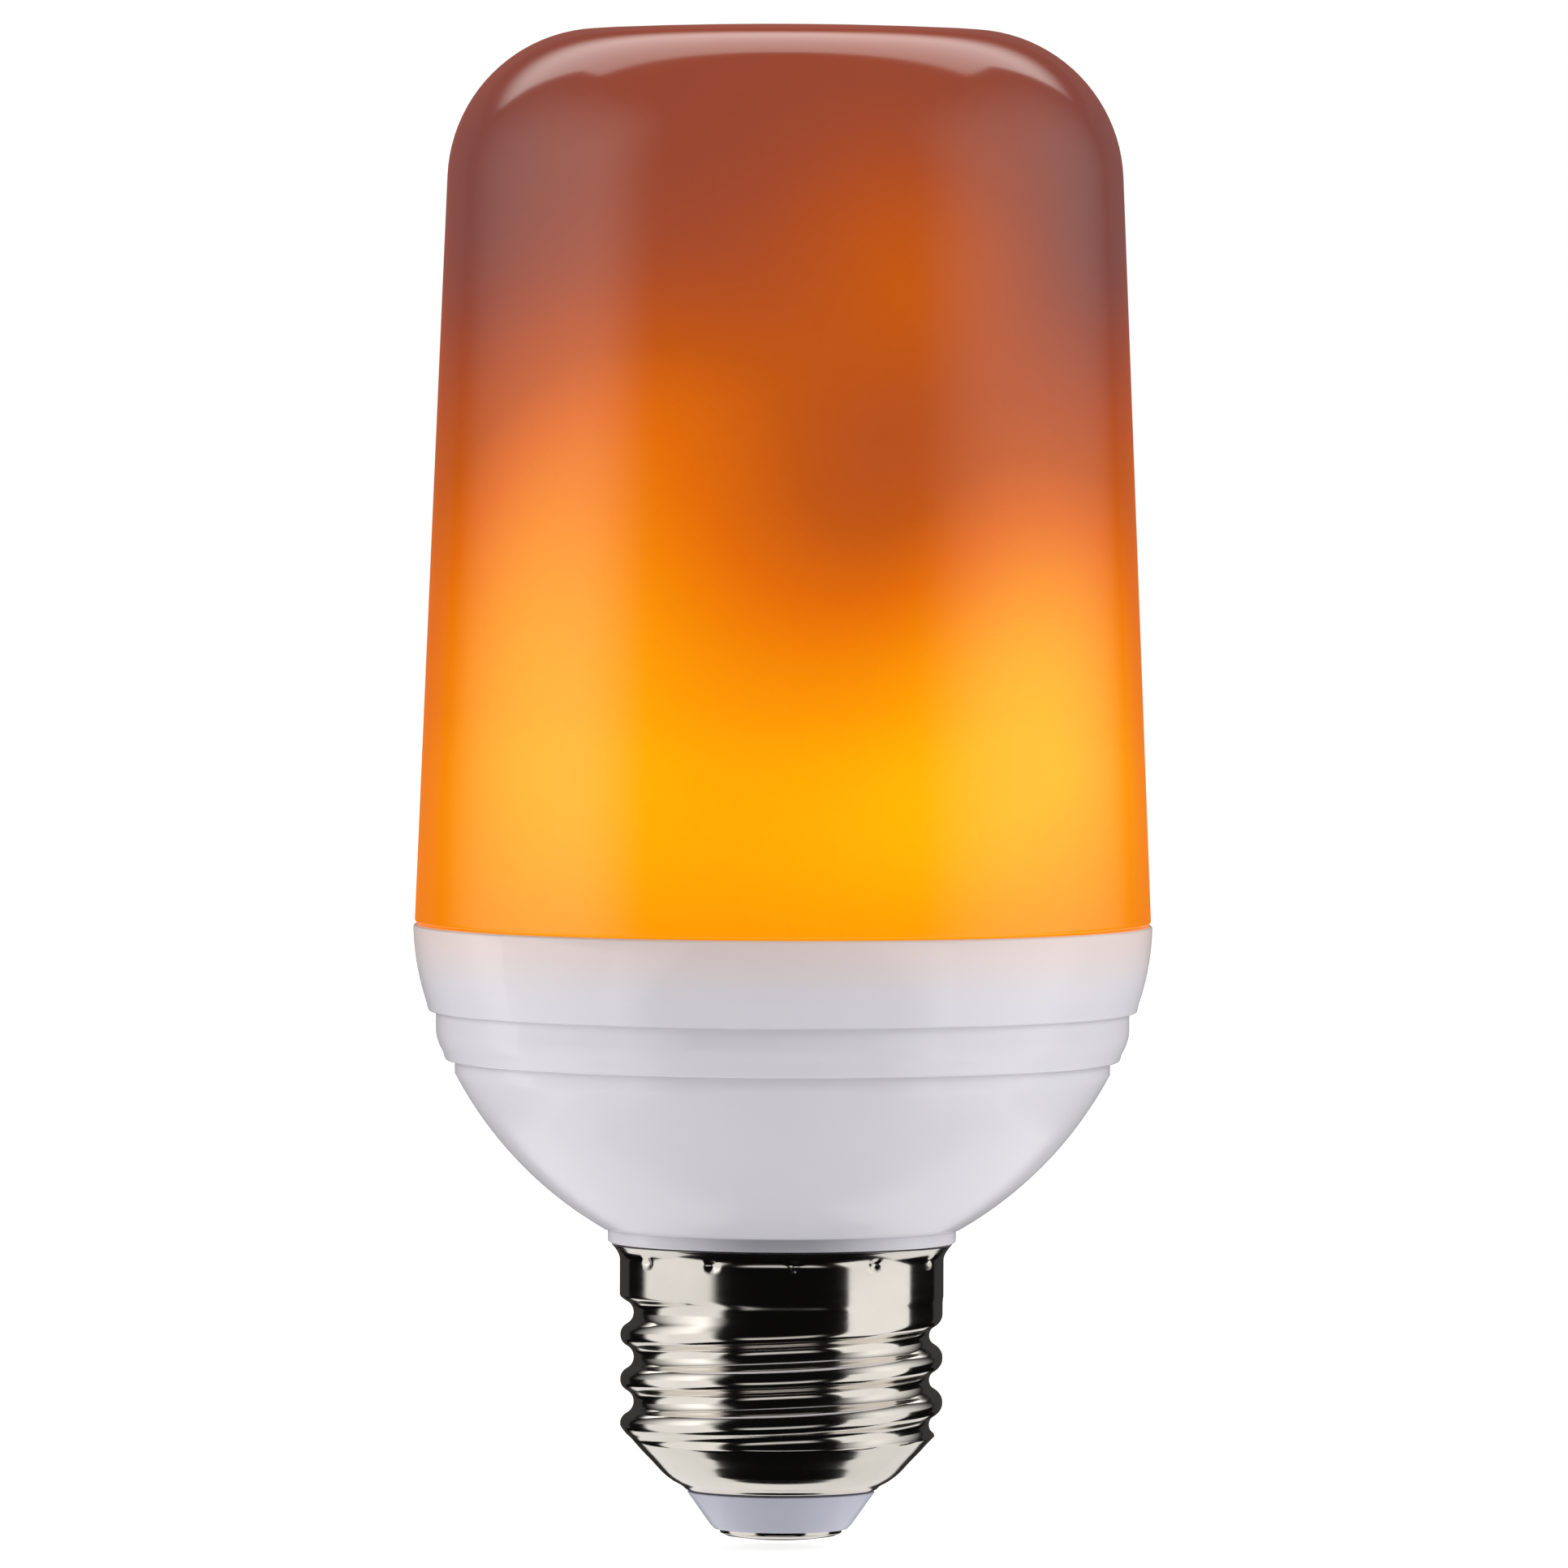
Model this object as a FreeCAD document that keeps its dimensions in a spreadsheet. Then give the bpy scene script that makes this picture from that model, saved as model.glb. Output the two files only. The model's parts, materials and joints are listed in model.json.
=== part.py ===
import FreeCAD, Part
import math
import os
import Sketcher

# Flame effect light bulb on a 26 mm screw cap, in mm, +Z up from the centre contact's tip.
doc = FreeCAD.newDocument("flame_effect_bulb")
sheet = doc.addObject("Spreadsheet::Sheet", "Sizes")
V = FreeCAD.Vector

# Driving sizes: alias, value in mm (angles in degrees), meaning
SIZES = [
    ("overall_len", 123.0, "whole lamp, contact tip to crown"),
    ("rim_r", 30.0, "housing rim, greatest radius of the lamp"),
    ("rim_z", 50.0, "top of the housing rim"),
    ("seam_gap", 0.15, "gap between the rim and the diffuser shoulder"),
    ("rim_proud", 0.13, "step from the rim in to the diffuser"),
    ("globe_taper", 2.95, "diffuser taper from the seam to the crown"),
    ("crown_drop", 1.1, "crown over the corner of taper and crown"),
    ("globe_round", 12.5, "shoulder rounding of the diffuser"),
    ("globe_wall", 1.6, "diffuser wall"),
    ("spigot_len", 4.2, "diffuser spigot inside the rim"),
    ("spigot_blend", 2.0, "height of the slope above the spigot"),
    ("slip_fit", 0.15, "radial clearance of pushed-in moulded parts"),
    ("rim_wall", 1.7, "housing wall at the rim"),
    ("tier1_cut", 1.25, "first tier pulls in"),
    ("tier1_tall", 6.8, "height of the first tier"),
    ("tier1_bulge", 0.295, "crown of its curved side"),
    ("tier1_lip", 0.25, "upright lip under the first tier"),
    ("tier2_cut", 0.6, "ledge over the second tier"),
    ("tier2_tall", 4.0, "height of the second tier"),
    ("tier2_flat", 1.6, "upright part of the second tier"),
    ("tier2_pull", 0.8, "second tier pulls in below"),
    ("tier2_bulge", 0.2, "crown of its curved foot"),
    ("foot_edge", 0.4, "upright edge at a foot"),
    ("tier3_cut", 0.75, "ledge over the third tier"),
    ("tier3_tall", 1.05, "height of the third tier"),
    ("bowl_bulge", 1.25, "crown of the bowl over its chord"),
    ("bowl_lip", 0.35, "ledge over the collar"),
    ("collar_tall", 1.1, "height of the collar"),
    ("collar_out", 1.0, "collar outside the skirt"),
    ("mouth_gap", 0.1, "gap between the collar and the screw shell"),
    ("case_wall", 1.8, "housing wall"),
    ("edge_round", 0.35, "rounding of the second tier's foot"),
    ("collar_round", 0.175, "rounding of the collar's foot"),
    ("neck_fit", 0.075, "neck inside the skirt, radial"),
    ("neck_gap", 0.25, "neck inside the thread, radial"),
    ("neck_wall", 1.55, "wall of the neck"),
    ("neck_seat", 3.4, "seat of the neck in the skirt"),
    ("neck_cone", 1.0, "cone under that seat"),
    ("neck_len", 10.1, "neck below the shell's mouth"),
    ("floor_thick", 1.6, "floor of the housing over the collar"),
    ("ledge_thick", 1.65, "housing under the core's ledge"),
    ("shell_r", 13.15, "screw shell skirt"),
    ("shell_wall", 0.3, "sheet of the screw shell"),
    ("shell_tall", 20.0, "height of the screw shell"),
    ("flare_tall", 1.2, "height of the flared mouth"),
    ("flare_out", 0.75, "how far the mouth flares"),
    ("crest_in", 0.05, "thread crest inside the skirt"),
    ("pitch", 3.629, "thread pitch, seven to the inch"),
    ("groove_rho", 1.025, "radius of thread crest and root"),
    ("groove_up", 1.653, "lowest groove centre on the +X side, over the lip"),
    ("groove_end", 1349.0, "angle where the groove has run out"),
    ("groove_fade", 95.0, "angle over which it runs out"),
    ("runout_down", 4.8, "thread ends this far under the mouth"),
    ("thread_clear", 0.35, "thread's surface clear of the skirt past its end"),
    ("lip_in", 5.39, "lower lip inside the skirt"),
    ("lip_open", 3.7, "inner surface carried on under the lip"),
    ("glass_in", 0.1, "insulator inside the lip"),
    ("glass_cone", 1.91, "how far the insulator narrows"),
    ("glass_tall", 3.2, "insulator between contact and lip"),
    ("glass_edge", 0.35, "bevel at the insulator's foot"),
    ("glass_neck", 0.2, "insulator inside the lip's hole"),
    ("glass_step", 0.75, "its neck over the lip"),
    ("glass_slope", 1.7, "rise of the sloped underside over the neck"),
    ("glass_flange", 1.6, "flange outside the lip and round the shank"),
    ("glass_top", 3.2, "flange's top over the lip"),
    ("glass_lead", 0.7, "bevel of the shank's hole"),
    ("contact_in", 0.8, "contact inside the insulator"),
    ("contact_land_r", 0.6, "flat land at the contact's tip"),
    ("contact_rise", 0.5, "height of the contact's dome"),
    ("contact_thick", 0.9, "thickness of the contact"),
    ("rivet_r", 1.5, "shank of the contact"),
    ("rivet_up", 4.3, "shank over the lip"),
    ("core_gap", 5.2, "screws outside the core's tube"),
    ("core_wall", 1.6, "wall of that tube"),
    ("core_clear", 11.0, "tube below the crown"),
    ("flange_thick", 1.6, "flange of the tube"),
    ("cap_thick", 1.5, "cap of the tube"),
    ("cap_spigot", 3.0, "spigot of that cap"),
    ("flex_gap", 0.1, "fit of the light board on its tube"),
    ("flex_thick", 0.4, "light board"),
    ("flex_up", 5.8, "light board over the flange"),
    ("flex_down", 2.0, "light board under the tube's top"),
    ("flex_slit", 4.0, "open seam of the rolled board"),
    ("led_rows", 8, "rows of light emitters"),
    ("led_cols", 12, "emitters in a row"),
    ("led_low", 4.0, "lowest row over the board's edge"),
    ("led_high", 4.8, "highest row under the board's edge"),
    ("led_wide", 3.5, "emitter width"),
    ("led_tall", 2.8, "emitter height"),
    ("led_deep", 0.7, "emitter thickness"),
    ("solder", 0.05, "solder under a part"),
    ("board_gap", 0.3, "driver board inside the bosses"),
    ("board_thick", 1.6, "driver board"),
    ("post_tall", 6.1, "post under the driver board"),
    ("post_r", 1.7, "post"),
    ("post_gap", 0.1, "post outside the neck's bore"),
    ("post_turn", 90.0, "angle of the first post"),
    ("peg_r", 0.75, "peg on a post"),
    ("peg_len", 2.4, "length of the peg"),
    ("peg_fit", 0.1, "clearance round the peg"),
    ("boss_r", 2.2, "screw boss"),
    ("boss_gap", 0.1, "boss inside the upright wall"),
    ("boss_tall", 5.6, "height of the boss"),
    ("screw_turn", 30.0, "angle of the first core screw"),
    ("pilot_deep", 5.0, "depth of the pilot hole"),
    ("pilot_fit", 0.05, "clearance round the screw in its pilot"),
    ("clear_fit", 0.3, "clearance round the screw in the flange"),
    ("screw_r", 0.95, "screw shank"),
    ("screw_len", 5.6, "screw under its head"),
    ("screw_head_r", 2.0, "screw head"),
    ("screw_head", 1.4, "height of the head"),
    ("lead_r", 0.5, "bare radius of a lead"),
    ("lead_fit", 0.4, "clearance round a lead in the flange"),
    ("lead_turn", 75.0, "angle of the lead to the light board"),
    ("lead_lap", 2.0, "lead beside the light board"),
    ("neutral_in", 2.4, "neutral lead inside the neck's bore"),
    ("neutral_gap", 0.06, "its end to the shell"),
    ("neutral_bend", 2.0, "bend of the neutral lead"),
    ("can_r", 5.0, "smoothing capacitor"),
    ("can_len", 16.0, "its height"),
    ("can_bead", 0.35, "bead near its foot"),
    ("can_x", -8.0, "its axis on the board"),
    ("can_y", 2.5, "its axis on the board"),
    ("choke_r", 3.0, "filter inductor"),
    ("choke_len", 6.5, "its height"),
    ("choke_rim", 1.0, "its end plates"),
    ("choke_wind", 0.45, "winding inside the end plates"),
    ("choke_x", 5.0, "its axis on the board"),
    ("choke_y", -6.4, "its axis on the board"),
    ("bridge_long", 4.7, "bridge rectifier, length"),
    ("bridge_wide", 3.9, "its width"),
    ("bridge_tall", 2.6, "its height"),
    ("bridge_x", 1.5, "its corner on the board"),
    ("bridge_y", 6.5, "its corner on the board"),
    ("chip_long", 4.9, "control chip, length"),
    ("chip_wide", 3.9, "its width"),
    ("chip_tall", 1.5, "its height"),
    ("chip_x", -6.0, "its corner on the board"),
    ("chip_y", -9.6, "its corner on the board"),
    ("resistor_r", 1.6, "fusible resistor"),
    ("resistor_len", 9.0, "its body"),
    ("resistor_leg", 1.2, "leg beyond the body"),
    ("leg_r", 0.3, "leg"),
    ("resistor_up", 0.4, "body over the board"),
    ("resistor_in", 7.5, "resistor inside the board's edge"),
    ("resistor_x", 2.5, "its middle on the board"),
    ("resistor_turn", 12.0, "its angle on the board"),
]

# Sizes worked out from those: alias and formula
WORKED = [
    ("shell_lip_z", "contact_thick + glass_tall"),
    ("shell_top_z", "shell_lip_z + shell_tall"),
    ("shell_lip_r", "shell_r - lip_in"),
    ("shell_mouth_r", "shell_r + flare_out"),
    ("flare_z", "shell_top_z - flare_tall"),
    ("crest_r", "shell_r - crest_in"),
    ("groove_deep", "2 * (groove_rho - sqrt(groove_rho ^ 2 - pitch ^ 2 / 16))"),
    ("groove_z", "shell_lip_z + groove_up"),
    ("root_r", "crest_r - groove_deep"),
    ("runout_z", "shell_top_z - runout_down"),
    ("glass_r", "shell_lip_r - glass_in"),
    ("glass_hole_r", "shell_lip_r - shell_wall - glass_in - glass_neck"),
    ("glass_low_r", "glass_r - glass_cone"),
    ("contact_r", "glass_low_r - contact_in"),
    ("rivet_top_z", "shell_lip_z + rivet_up"),
    ("collar_r", "shell_r + collar_out"),
    ("collar_z", "shell_top_z + mouth_gap"),
    ("bowl_foot_r", "collar_r + bowl_lip"),
    ("bowl_foot_z", "collar_z + collar_tall"),
    ("tier1_r", "rim_r - tier1_cut"),
    ("tier1_z", "rim_z - tier1_tall"),
    ("tier2_r", "tier1_r - tier2_cut"),
    ("tier2_z", "tier1_z - tier1_lip"),
    ("tier2_foot_r", "tier2_r - tier2_pull"),
    ("tier2_foot_z", "tier2_z - tier2_tall"),
    ("tier3_r", "tier2_foot_r - tier3_cut"),
    ("tier3_z", "tier2_foot_z - tier3_tall"),
    ("bowl_chord", "sqrt((tier3_r - bowl_foot_r) ^ 2 + (tier3_z - bowl_foot_z) ^ 2)"),
    ("bowl_lean", "(tier3_z - bowl_foot_z) / bowl_chord"),
    ("bowl_fall", "(tier3_r - bowl_foot_r) / bowl_chord"),
    ("bowl_mid_r", "(tier3_r + bowl_foot_r) / 2 + bowl_bulge * bowl_lean"),
    ("bowl_mid_z", "(tier3_z + bowl_foot_z) / 2 - bowl_bulge * bowl_fall"),
    ("cup_floor_z", "bowl_foot_z + floor_thick"),
    ("core_seat_z", "tier2_foot_z + ledge_thick"),
    ("neck_tube_r", "root_r - shell_wall - neck_gap"),
    ("neck_bore_r", "neck_tube_r - neck_wall"),
    ("neck_seat_r", "shell_r - shell_wall - neck_fit"),
    ("neck_seat_z", "shell_top_z - neck_seat"),
    ("neck_foot_z", "shell_top_z - neck_len"),
    ("rim_bore_r", "rim_r - rim_wall"),
    ("rim_bore_z", "rim_z - spigot_len - seam_gap"),
    ("wall_in_r", "tier3_r - case_wall"),
    ("ledge_in_r", "tier2_r - case_wall"),
    ("globe_r", "rim_r - rim_proud"),
    ("globe_z", "rim_z + seam_gap"),
    ("globe_top_r", "globe_r - globe_taper"),
    ("globe_top_z", "overall_len - crown_drop"),
    ("globe_round_in", "globe_round - globe_wall"),
    ("spigot_r", "rim_bore_r - slip_fit"),
    ("crown_ball", "(globe_top_r ^ 2 + crown_drop ^ 2) / (2 * crown_drop)"),
    ("globe_in_r", "globe_top_r - globe_wall"),
    ("crown_ball_in", "(globe_in_r ^ 2 + crown_drop ^ 2) / (2 * crown_drop)"),
    ("crown_in_z", "overall_len - globe_wall"),
    ("screw_ring_r", "wall_in_r - boss_r - boss_gap"),
    ("core_r", "screw_ring_r - core_gap"),
    ("core_top_z", "overall_len - core_clear"),
    ("flange_r", "ledge_in_r - slip_fit"),
    ("flange_top", "core_seat_z + flange_thick"),
    ("pilot_r", "screw_r + pilot_fit"),
    ("clear_r", "screw_r + clear_fit"),
    ("flex_in_r", "core_r + flex_gap"),
    ("flex_out_r", "flex_in_r + flex_thick"),
    ("flex_low_z", "flange_top + flex_up"),
    ("flex_top_z", "core_top_z - flex_down"),
    ("flex_len", "flex_top_z - flex_low_z"),
    ("led_first_z", "flex_low_z + led_low"),
    ("led_pitch", "(flex_len - led_low - led_high) / (led_rows - 1)"),
    ("lead_ring_r", "flex_out_r + solder + lead_r"),
    ("lead_hole_r", "lead_r + lead_fit"),
    ("board_z", "cup_floor_z + post_tall"),
    ("board_r", "screw_ring_r - boss_r - board_gap"),
    ("parts_z", "board_z + board_thick + solder"),
    ("post_ring_r", "neck_bore_r + post_r + post_gap"),
    ("post_len", "post_tall + slip_fit"),
    ("peg_hole_r", "peg_r + peg_fit"),
    ("neutral_x", "neck_bore_r - neutral_in"),
    ("neutral_z", "groove_z + pitch"),
    ("neutral_end_r", "root_r - shell_wall - neutral_gap"),
]

for row, (alias, value, meaning) in enumerate(SIZES, start=2):
    sheet.set(f"A{row}", alias)
    sheet.set(f"B{row}", str(value))
    sheet.set(f"C{row}", meaning)
    sheet.setAlias(f"B{row}", alias)
taken = []


def size(alias):
    return float(getattr(sheet, alias))


def worked(alias, formula):
    """A size worked out from the others, kept in the sheet under its own alias."""
    taken.append(alias)
    cell = f"E{1 + len(taken)}"
    sheet.set(cell, "=" + formula)
    sheet.setAlias(cell, alias)


for alias, formula in WORKED:
    worked(alias, formula)
sheet.recompute()


def new_body(label):
    body = doc.addObject("PartDesign::Body", label)
    body.Label = label
    return body


def new_sketch(body, label, role, height=None):
    sketch = body.newObject("Sketcher::SketchObject", label)
    plane = next(f for f in body.Origin.OriginFeatures if f.Role == role)
    sketch.AttachmentSupport = [(plane, "")]
    sketch.MapMode = "FlatFace"
    if height:
        sketch.setExpression("AttachmentOffset.Base.z", f"Sizes.{height}")
    return sketch


def pin_down(sketch, geo, pos, x_alias, z_alias):
    """Hold one sketch point at two sheet sizes measured from the origin."""
    for kind, alias in (("DistanceX", x_alias), ("DistanceY", z_alias)):
        value = size(alias)
        at = sketch.addConstraint(Sketcher.Constraint(kind, -1, 1, geo, pos, value))
        sketch.setExpression(f"Constraints[{at}]", f"Sizes.{alias}")


def turned(label, corners):
    """A body turned about Z. A corner is (r, z) in sheet formulas; a third entry 'via' makes it
    the middle of an arc between its neighbours."""
    names = []
    for i, corner in enumerate(corners):
        pair = (f"{label}_r{i}x", f"{label}_z{i}x")
        worked(pair[0], corner[0])
        worked(pair[1], corner[1])
        names.append(pair)
    sheet.recompute()
    at = [V(size(r), size(z), 0) for r, z in names]
    body = new_body(label)
    sketch = new_sketch(body, label + "_profile", "XZ_Plane")
    ends = [i for i, corner in enumerate(corners) if len(corner) == 2]
    made = []
    for a, b in zip(ends, ends[1:] + ends[:1]):
        if (b - a) % len(corners) == 2:
            via = (a + 1) % len(corners)
            arc = Part.Arc(at[a], at[via], at[b])
            geo = sketch.addGeometry(arc, False)
            ccw = (at[via] - at[a]).cross(at[b] - at[via]).z > 0
            made.append((geo, 1 if ccw else 2, 2 if ccw else 1, a, via))
        else:
            geo = sketch.addGeometry(Part.LineSegment(at[a], at[b]), False)
            made.append((geo, 1, 2, a, None))
    for this, after in zip(made, made[1:] + made[:1]):
        sketch.addConstraint(
            Sketcher.Constraint("Coincident", this[0], this[2], after[0], after[1])
        )
    for geo, start, _, corner, via in made:
        pin_down(sketch, geo, start, *names[corner])
        if via is not None:
            point = sketch.addGeometry(Part.Point(at[via]), True)
            pin_down(sketch, point, 1, *names[via])
            sketch.addConstraint(Sketcher.Constraint("PointOnObject", point, 1, geo))
    turn = body.newObject("PartDesign::Revolution", label + "_turn")
    turn.Profile = sketch
    turn.ReferenceAxis = (sketch, ["V_Axis"])
    turn.Angle = 360
    sketch.Visibility = False
    doc.recompute()
    return body


def rounded(body, name, radius, ring_r, ring_z):
    """Round the ring edge at this radius and height."""
    base = body.Tip
    picked = []
    for i, edge in enumerate(base.Shape.Edges, start=1):
        curve = None if edge.Degenerated else edge.Curve
        if isinstance(curve, Part.Circle):
            off = max(abs(curve.Radius - size(ring_r)), abs(curve.Center.z - size(ring_z)))
            if off < 1e-4:
                picked.append(f"Edge{i}")
    fillet = body.newObject("PartDesign::Fillet", name)
    fillet.Base = (base, picked)
    fillet.Radius = size(radius)
    fillet.setExpression("Radius", f"Sizes.{radius}")
    doc.recompute()


def ring_sketch(body, label, radius, height, ring=None, first=None, count=1):
    """Circles of one radius, in the middle or spread round a ring, seen from above."""
    sketch = new_sketch(body, label, "XY_Plane", height)
    for k in range(count):
        out = size(ring) if ring else 0.0
        turn = math.radians(size(first) + 360.0 * k / count) if ring else 0.0
        x, y = out * math.cos(turn), out * math.sin(turn)
        geo = sketch.addGeometry(Part.Circle(V(x, y, 0), V(0, 0, 1), size(radius)), False)
        at = sketch.addConstraint(Sketcher.Constraint("Radius", geo, size(radius)))
        sketch.setExpression(f"Constraints[{at}]", f"Sizes.{radius}")
        if not ring:
            sketch.addConstraint(Sketcher.Constraint("Coincident", geo, 3, -1, 1))
            continue
        for kind, value, wave in (("DistanceX", x, "cos"), ("DistanceY", y, "sin")):
            at = sketch.addConstraint(Sketcher.Constraint(kind, -1, 1, geo, 3, value))
            angle = f"(Sizes.{first} + {360.0 * k / count:g}) * 1 deg"
            sketch.setExpression(f"Constraints[{at}]", f"Sizes.{ring} * {wave}({angle})")
    sketch.Visibility = False
    return sketch


def raised(body, name, sketch, length, down=False):
    pad = body.newObject("PartDesign::Pad", name)
    pad.Profile = sketch
    pad.Reversed = down
    pad.Length = size(length)
    pad.setExpression("Length", f"Sizes.{length}")
    doc.recompute()


def sunk(body, name, sketch, depth=None):
    before = body.Shape.Volume
    pocket = body.newObject("PartDesign::Pocket", name)
    pocket.Profile = sketch
    if depth:
        pocket.Length = size(depth)
        pocket.setExpression("Length", f"Sizes.{depth}")
    else:
        pocket.Type = "ThroughAll"
        pocket.Midplane = True
    doc.recompute()
    if body.Shape.Volume >= before:
        raise RuntimeError(f"{name} cuts nothing")


# Diffuser: tapered cup with a round shoulder and a crown that is part of a large ball
diffuser = turned("diffuser", [
    ("globe_r", "globe_z"),
    ("globe_top_r", "globe_top_z"),
    ("globe_top_r / 2", "overall_len - crown_ball + sqrt(crown_ball ^ 2 - globe_top_r ^ 2 / 4)",
     "via"),
    ("0", "overall_len"),
    ("0", "crown_in_z"),
    ("globe_in_r / 2", "crown_in_z - crown_ball_in + sqrt(crown_ball_in ^ 2 - globe_in_r ^ 2 / 4)",
     "via"),
    ("globe_in_r", "globe_top_z - globe_wall"),
    ("globe_r - globe_wall", "globe_z + spigot_blend"),
    ("spigot_r - globe_wall", "globe_z"),
    ("spigot_r - globe_wall", "globe_z - spigot_len"),
    ("spigot_r", "globe_z - spigot_len"),
    ("spigot_r", "globe_z"),
])
worked("globe_corner_in", "globe_top_z - globe_wall")
sheet.recompute()
rounded(diffuser, "shoulder_outside", "globe_round", "globe_top_r", "globe_top_z")
rounded(diffuser, "shoulder_inside", "globe_round_in", "globe_in_r", "globe_corner_in")

# Housing: three tiers, bowl, collar and the neck that carries the screw shell
housing = turned("housing", [
    ("rim_r", "rim_z"),
    ("(rim_r + tier1_r) / 2 + tier1_bulge", "(rim_z + tier1_z) / 2", "via"),
    ("tier1_r", "tier1_z"),
    ("tier1_r", "tier2_z"),
    ("tier2_r", "tier2_z"),
    ("tier2_r", "tier2_z - tier2_flat"),
    ("(tier2_r + tier2_foot_r) / 2 + tier2_bulge",
     "(tier2_z - tier2_flat + tier2_foot_z + foot_edge) / 2", "via"),
    ("tier2_foot_r", "tier2_foot_z + foot_edge"),
    ("tier2_foot_r", "tier2_foot_z"),
    ("tier3_r", "tier2_foot_z"),
    ("tier3_r", "tier3_z"),
    ("bowl_mid_r", "bowl_mid_z", "via"),
    ("bowl_foot_r", "bowl_foot_z"),
    ("collar_r", "bowl_foot_z"),
    ("collar_r", "collar_z"),
    ("neck_seat_r", "collar_z"),
    ("neck_seat_r", "neck_seat_z"),
    ("neck_tube_r", "neck_seat_z - neck_cone"),
    ("neck_tube_r", "neck_foot_z"),
    ("neck_bore_r", "neck_foot_z"),
    ("neck_bore_r", "cup_floor_z"),
    ("bowl_foot_r - collar_out", "cup_floor_z"),
    ("bowl_mid_r - case_wall * bowl_lean", "bowl_mid_z + case_wall * bowl_fall", "via"),
    ("wall_in_r", "tier3_z + foot_edge"),
    ("wall_in_r", "core_seat_z"),
    ("ledge_in_r", "core_seat_z"),
    ("ledge_in_r", "rim_bore_z"),
    ("rim_bore_r", "rim_bore_z"),
    ("rim_bore_r", "rim_z"),
])
rounded(housing, "tier_foot", "edge_round", "tier2_foot_r", "tier2_foot_z")
rounded(housing, "collar_foot", "collar_round", "collar_r", "collar_z")
THIRDS = 3
posts = ring_sketch(housing, "post_plan", "post_r", "board_z", "post_ring_r", "post_turn", THIRDS)
raised(housing, "board_posts", posts, "post_len", down=True)
pegs = ring_sketch(housing, "peg_plan", "peg_r", "board_z", "post_ring_r", "post_turn", THIRDS)
raised(housing, "board_pegs", pegs, "peg_len")
bosses = ring_sketch(
    housing, "boss_plan", "boss_r", "core_seat_z", "screw_ring_r", "screw_turn", THIRDS
)
raised(housing, "screw_bosses", bosses, "boss_tall", down=True)
pilots = ring_sketch(
    housing, "pilot_plan", "pilot_r", "core_seat_z", "screw_ring_r", "screw_turn", THIRDS
)
sunk(housing, "pilot_holes", pilots, "pilot_deep")

# Insulator: cone between the shell's lip and the centre contact, held by a flange inside
turned("insulator", [
    ("contact_r", "contact_thick"),
    ("glass_low_r - glass_edge", "contact_thick"),
    ("glass_low_r", "contact_thick + glass_edge"),
    ("glass_r", "shell_lip_z - glass_in"),
    ("glass_hole_r", "shell_lip_z - glass_in"),
    ("glass_hole_r", "shell_lip_z + glass_step"),
    ("shell_lip_r + glass_flange", "shell_lip_z + glass_step + glass_slope"),
    ("shell_lip_r + glass_flange", "shell_lip_z + glass_top"),
    ("rivet_r + glass_flange", "shell_lip_z + glass_top"),
    ("rivet_r + slip_fit", "shell_lip_z + glass_top - glass_lead"),
    ("rivet_r + slip_fit", "contact_thick"),
])

# Centre contact: domed disc with a rivet shank
turned("centre_contact", [
    ("0", "0"),
    ("contact_land_r", "0"),
    ("contact_r * 0.58", "contact_rise * 0.3", "via"),
    ("contact_r", "contact_rise"),
    ("contact_r", "contact_thick"),
    ("rivet_r", "contact_thick"),
    ("rivet_r", "rivet_top_z"),
    ("0", "rivet_top_z"),
])

# Light core: flanged tube screwed to the housing's bosses
core = turned("led_core", [
    ("core_r - core_wall", "core_seat_z"),
    ("flange_r", "core_seat_z"),
    ("flange_r", "flange_top"),
    ("core_r", "flange_top"),
    ("core_r", "core_top_z"),
    ("core_r - core_wall", "core_top_z"),
])
holes = ring_sketch(core, "screw_plan", "clear_r", "core_seat_z", "screw_ring_r", "screw_turn", THIRDS)
sunk(core, "screw_holes", holes)
PAIR = 2
ways = ring_sketch(core, "lead_plan", "lead_hole_r", "core_seat_z", "lead_ring_r", "lead_turn", PAIR)
sunk(core, "lead_holes", ways)

# Cap on the light core
turned("core_cap", [
    ("0", "core_top_z - cap_spigot"),
    ("core_r - core_wall - slip_fit", "core_top_z - cap_spigot"),
    ("core_r - core_wall - slip_fit", "core_top_z"),
    ("core_r", "core_top_z"),
    ("core_r", "core_top_z + cap_thick"),
    ("0", "core_top_z + cap_thick"),
])

# Light board: flexible board rolled round the core, open at its seam
board = new_body("led_board")
plan = new_sketch(board, "board_plan", "XY_Plane", "flex_low_z")
half = math.radians(size("flex_slit") / 2)
span = (math.pi / 2 + half, math.pi * 5 / 2 - half)
for alias in ("flex_in_r", "flex_out_r"):
    ring = Part.Circle(V(0, 0, 0), V(0, 0, 1), size(alias))
    geo = plan.addGeometry(Part.ArcOfCircle(ring, *span), False)
    plan.addConstraint(Sketcher.Constraint("Coincident", geo, 3, -1, 1))
    at = plan.addConstraint(Sketcher.Constraint("Radius", geo, size(alias)))
    plan.setExpression(f"Constraints[{at}]", f"Sizes.{alias}")
for pos, turn in ((1, span[0]), (2, span[1])):
    ends = [V(size(a) * math.cos(turn), size(a) * math.sin(turn), 0)
            for a in ("flex_in_r", "flex_out_r")]
    geo = plan.addGeometry(Part.LineSegment(*ends), False)
    plan.addConstraint(Sketcher.Constraint("Coincident", geo, 1, 0, pos))
    plan.addConstraint(Sketcher.Constraint("Coincident", geo, 2, 1, pos))
    at = plan.addConstraint(Sketcher.Constraint("Angle", -1, 1, geo, 1, turn % (2 * math.pi)))
    side = "+" if pos == 1 else "-"
    plan.setExpression(f"Constraints[{at}]", f"(90 {side} Sizes.flex_slit / 2) * 1 deg")
raised(board, "board_roll", plan, "flex_len")

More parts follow.
